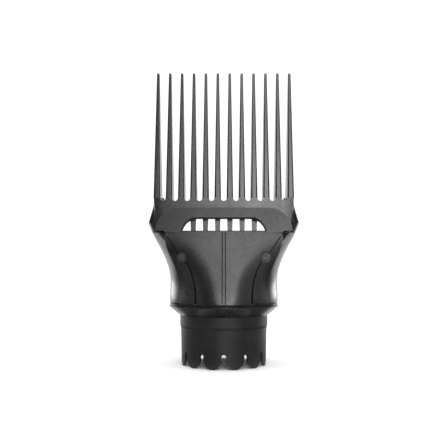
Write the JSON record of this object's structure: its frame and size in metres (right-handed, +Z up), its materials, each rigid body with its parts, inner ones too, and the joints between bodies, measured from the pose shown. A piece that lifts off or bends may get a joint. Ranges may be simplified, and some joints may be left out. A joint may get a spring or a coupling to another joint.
{
  "type": "hair dryer comb nozzle",
  "caption": "Comb nozzle for a hair dryer: flat funnel with a window, long comb teeth, side latches and a soft petal sleeve that grips the barrel.",
  "frame": {"origin": "On the nozzle's axis, in the plane of the petal tips at the mouth of the sleeve.", "axes": "+Z up along the axis from the sleeve to the teeth, +X across the row of teeth, -Y towards the front cover with the raised line."},
  "size_m": [0.0752, 0.0542, 0.1455],
  "materials": {
    "shell_plastic": "satin black moulded plastic",
    "comb_plastic": "satin black moulded plastic",
    "duct_plastic": "matte black heat-resisting plastic",
    "sleeve_rubber": "matte black soft plastic",
    "washer_felt": "pressed felt",
    "spring_steel": "bright spring steel",
    "pin_steel": "blackened steel"
  },
  "bodies": {
    "adapter": {"petal_sleeve": "sleeve_rubber", "collar_ring": "shell_plastic", "swivel_washer": "washer_felt"},
    "nozzle": {"air_duct": "duct_plastic", "front_cover": "shell_plastic", "rear_cover": "shell_plastic", "swivel_clip": "spring_steel", "left_pivot_pin": "pin_steel", "right_pivot_pin": "pin_steel", "left_latch_spring": "spring_steel", "right_latch_spring": "spring_steel"},
    "comb": {"comb_header": "comb_plastic", "tooth_01": "comb_plastic", "tooth_02": "comb_plastic", "tooth_03": "comb_plastic", "tooth_04": "comb_plastic", "tooth_05": "comb_plastic", "tooth_06": "comb_plastic", "tooth_07": "comb_plastic", "tooth_08": "comb_plastic", "tooth_09": "comb_plastic", "tooth_10": "comb_plastic", "tooth_11": "comb_plastic", "tooth_12": "comb_plastic"},
    "left_latch": {"left_latch": "shell_plastic", "left_latch_hook": "shell_plastic"},
    "right_latch": {"right_latch": "shell_plastic", "right_latch_hook": "shell_plastic"}
  },
  "joints": [
    {"name": "nozzle_swivel", "type": "hinge", "parent": "adapter", "child": "nozzle", "pos_m": [0, 0, 0.0305], "axis": [0, 0, 1], "continuous": true},
    {"name": "comb_lift", "type": "slide", "parent": "nozzle", "child": "comb", "axis": [0, 0, 1], "range_m": [0, 0.02]},
    {"name": "left_latch_squeeze", "type": "hinge", "parent": "nozzle", "child": "left_latch", "pos_m": [-0.0196, 0, 0.0525], "axis": [0, -1, 0], "range_deg": [0, 1.5], "stiffness_Nm_per_rad": 1.4, "springref_deg": -2.86, "deforming": ["left_latch_spring"]},
    {"name": "right_latch_squeeze", "type": "hinge", "parent": "nozzle", "child": "right_latch", "pos_m": [0.0196, 0, 0.0525], "axis": [0, 1, 0], "range_deg": [0, 1.5], "stiffness_Nm_per_rad": 1.4, "springref_deg": -2.86, "deforming": ["right_latch_spring"]}
  ]
}
